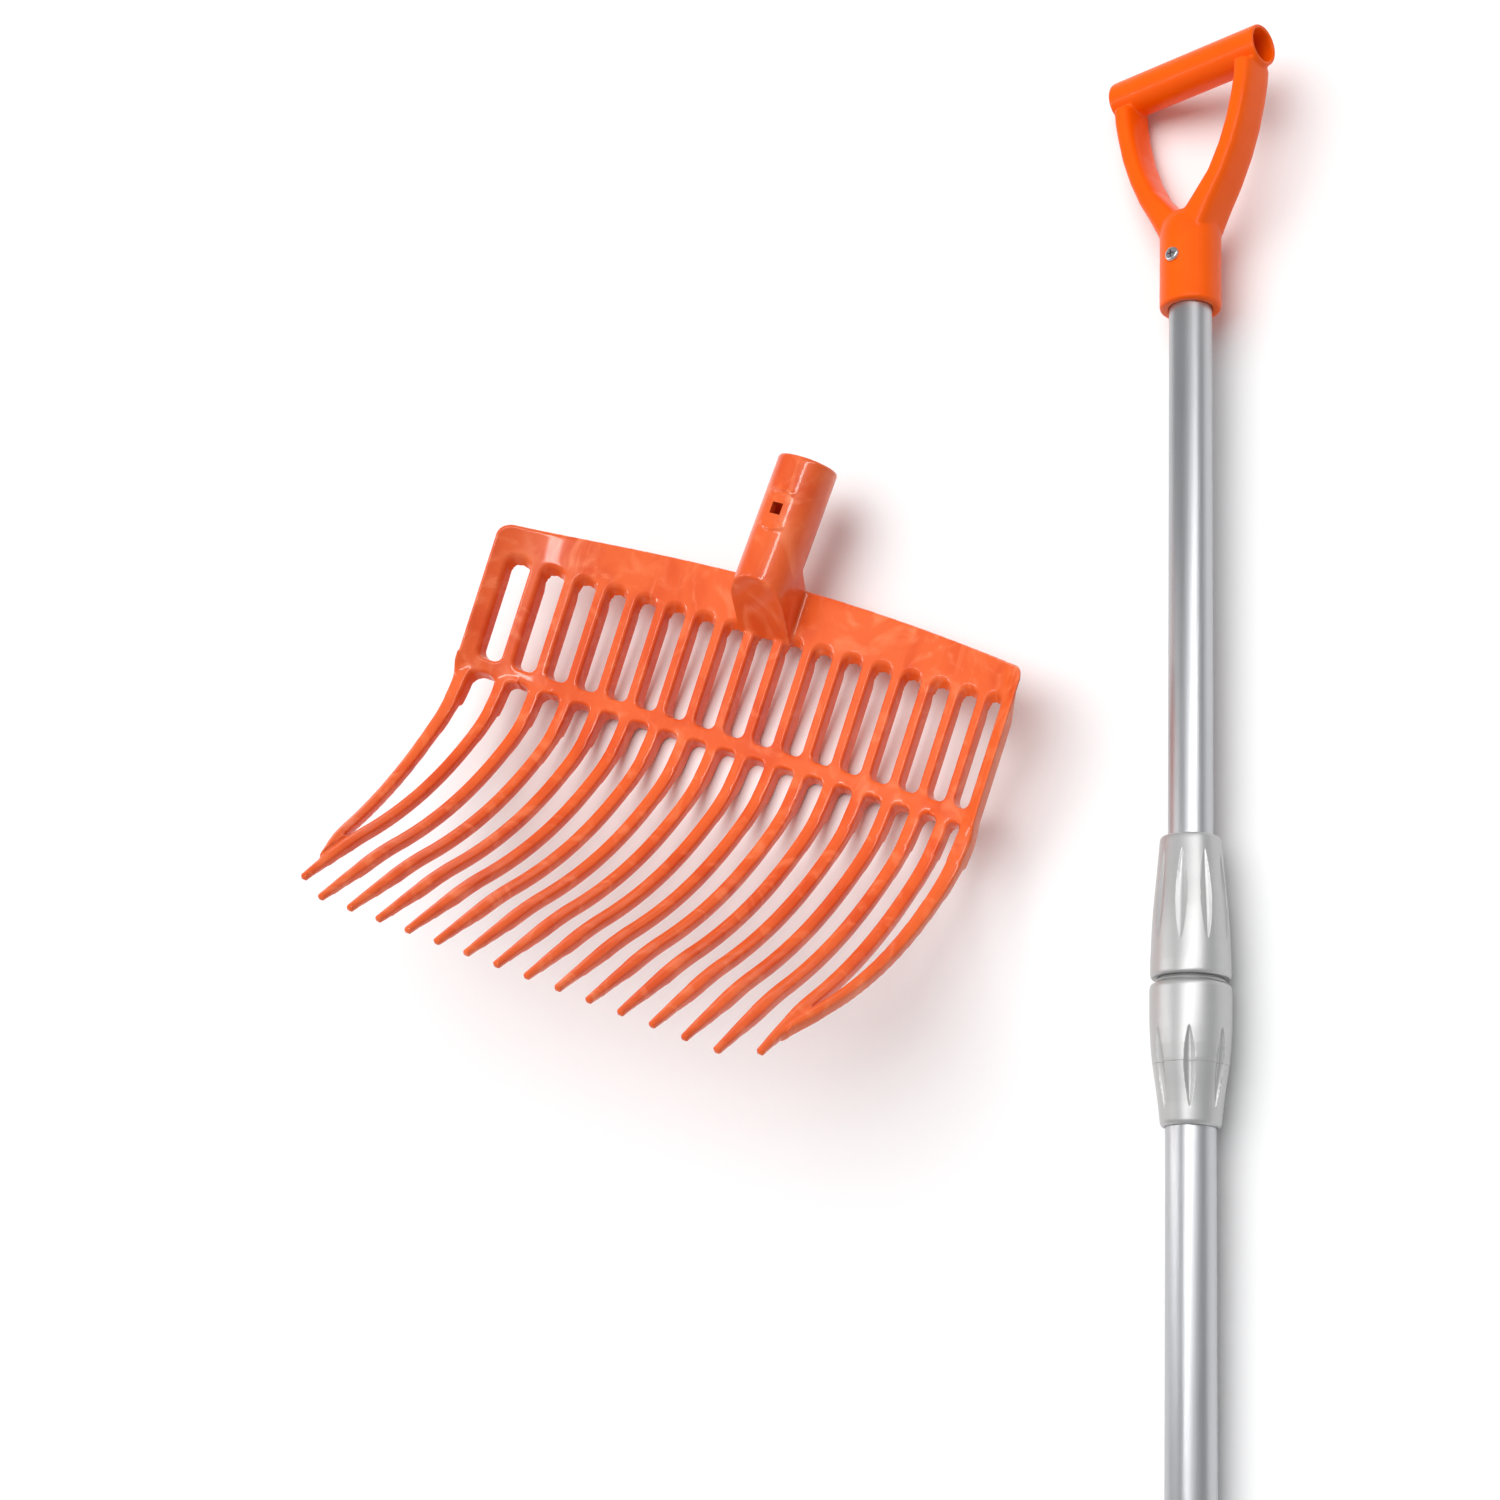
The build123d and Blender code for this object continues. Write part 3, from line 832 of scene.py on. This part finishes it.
def make_grip(bm):
    def circle(radius, height, steps=72):
        turns = [2 * math.pi * i / steps for i in range(steps)]
        return [(radius * math.cos(turn), radius * math.sin(turn), height) for turn in turns]

    outer = grip_socket_radius
    top = grip_socket_length
    outline = [(inner_radius, grip_tube_depth), (inner_radius, 1.0), (inner_radius + 0.8, 0),
               (outer - 1.4, 0),
               (outer - 0.4, 0.5), (outer, 1.6), (outer, top), (outer - 1, top + 6), (outer - 4, top + 11),
               (outer - 10, top + 14.5)]
    skin(bm, [circle(radius, height) for radius, height in outline])
    for hand in (-1, 1):
        make_grip_arm(bm, hand)
    half = grip_bar_length / 2
    outline = [(grip_bar_bore, -half + 0.8), (grip_bar_bore + 0.8, -half), (grip_bar_radius - 0.8, -half),
               (grip_bar_radius, -half + 0.9), (grip_bar_radius, half - 0.9), (grip_bar_radius - 0.8, half),
               (grip_bar_bore + 0.8, half), (grip_bar_bore, half - 0.8)]
    rings = []
    for i in range(72):
        turn = 2 * math.pi * i / 72
        rings.append([(x, r * math.cos(turn), grip_bar_height + r * math.sin(turn)) for r, x in outline])
    skin(bm, rings, ring_shaped=True)


def make_grip_plastic():
    """Bright orange plastic, a shade less glossy than the fork, with a soft cloudiness."""
    finish, shader, wire = new_finish(
        "grip_plastic", Specular_IOR_Level=0.15, Coat_Weight=0.12, Coat_Roughness=0.12, Coat_IOR=1.45)
    cloud = noise(wire, 0.03, 3.0, 1.0)
    grain = noise(wire, 0.0009, 2.0)
    colour = blend(wire, cloud, (0.97, 0.100, 0.0, 1), (1.0, 0.130, 0.0, 1))
    finish_surface(wire, shader, colour, 0.30 + cloud * 0.08 + grain * 0.06, grain, 0.00005)
    return finish


grip_shells = bmesh.new()
make_grip(grip_shells)
d_grip = as_object("d_grip_moulding", grip_shells)
melted(d_grip, 0.8, 6)
spot = bmesh.new()
turns = [2 * math.pi * i / 32 for i in range(32)]
for radius, near, far in ((screw_hole, -10, -25), (screw_spot, -(grip_socket_radius - 0.6), -25)):
    skin(spot, [
        [(radius * math.cos(turn), y, screw_height + radius * math.sin(turn)) for turn in turns]
        for y in (near, far)
    ])
cut(d_grip, as_object("screw_seat", spot))
d_grip.data.transform(pole_place @ Matrix.Translation((0, 0, grip_low)))
finish_piece(d_grip, make_grip_plastic(), "upper_pole", "grip_plastic", "d_grip")
sharpen(d_grip, 50.0)

# ==== Grip screw ==========================================================
# A zinc-plated steel screw with a cross recess, through the grip's socket
# into the upper tube. Its CAD shape is right and gets its metal here.


def make_screw_steel():
    finish, shader, wire = new_finish("screw_steel", Metallic=1.0)
    wear = noise(wire, 0.002, 4.0, 0.8)
    colour = blend(wire, wear, (0.50, 0.51, 0.53, 1), (0.74, 0.75, 0.77, 1))
    finish_surface(wire, shader, colour, 0.22 + wear * 0.2, wear, 0.00004)
    return finish


screw = frame["nodes"]["grip_screw"]
screw.data.materials.clear()
screw.data.materials.append(make_screw_steel())

# ==== Floor and light =====================================================
# A plain pale studio floor, one broad soft key light, and two long strips
# that draw the highlights on gloss and metal, under an even pale sky.


def make_floor():
    finish, shader, wire = new_finish("floor", Specular_IOR_Level=0.2)
    cloud = noise(wire, 0.6, 2.0)
    colour = blend(wire, cloud, (0.90, 0.90, 0.90, 1), (0.93, 0.93, 0.93, 1))
    finish_surface(wire, shader, colour, 0.6 + cloud * 0.1, cloud, 0.0001)
    bm = bmesh.new()
    corners = [(-6, -6), (6, -6), (6, 6), (-6, 6)]
    skin(bm, [[(x, y, z) for x, y in corners] for z in (-0.02, 0.0)])
    floor = as_object("floor", bm)
    floor.data.materials.append(finish)


def strip_light(name, stands, aims, size, power):
    """A long narrow light that is seen only in the gloss."""
    lamp = bpy.data.lights.new(name, "AREA")
    lamp.shape = "RECTANGLE"
    lamp.size, lamp.size_y = size
    lamp.energy = power
    light = bpy.data.objects.new(name, lamp)
    light.location = stands
    light.rotation_euler = (Vector(aims) - Vector(stands)).to_track_quat("-Z", "Y").to_euler()
    light.visible_diffuse = False
    bpy.context.scene.collection.objects.link(light)


make_floor()
strip_light("overhead", (0.78, 0.4, 1.9), (0.2, 0.1, 0.0), (0.18, 2.6), 24.0)
strip_light("side", (-1.7, 0.3, 1.0), (0.0, 0.1, 0.0), (0.12, 1.8), 9.0)
sun = bpy.data.lights.new("key", "SUN")
sun.energy = 2.75
sun.angle = math.radians(60)
key = bpy.data.objects.new("key", sun)
key.rotation_euler = (Vector((0.0, 0.0, 0.0)) - Vector((-0.4, 0.5, 1.9))).to_track_quat("-Z", "Y").to_euler()
key.visible_glossy = False
bpy.context.scene.collection.objects.link(key)
sky = bpy.data.worlds.new("studio")
sky.use_nodes = True
glow = sky.node_tree.nodes["Background"]
glow.inputs["Color"].default_value = (0.97, 0.98, 1.0, 1)
sky_wire = Wire(sky.node_tree)
seen = sky_wire.node("ShaderNodeLightPath", {}, {}, "Is Camera Ray")
strength = 0.34 + 0.66 * seen          # dim on the object, white behind it
sky.node_tree.links.new(strength.socket, glow.inputs["Strength"])
bpy.context.scene.world = sky
bpy.context.scene.view_settings.view_transform = "Standard"
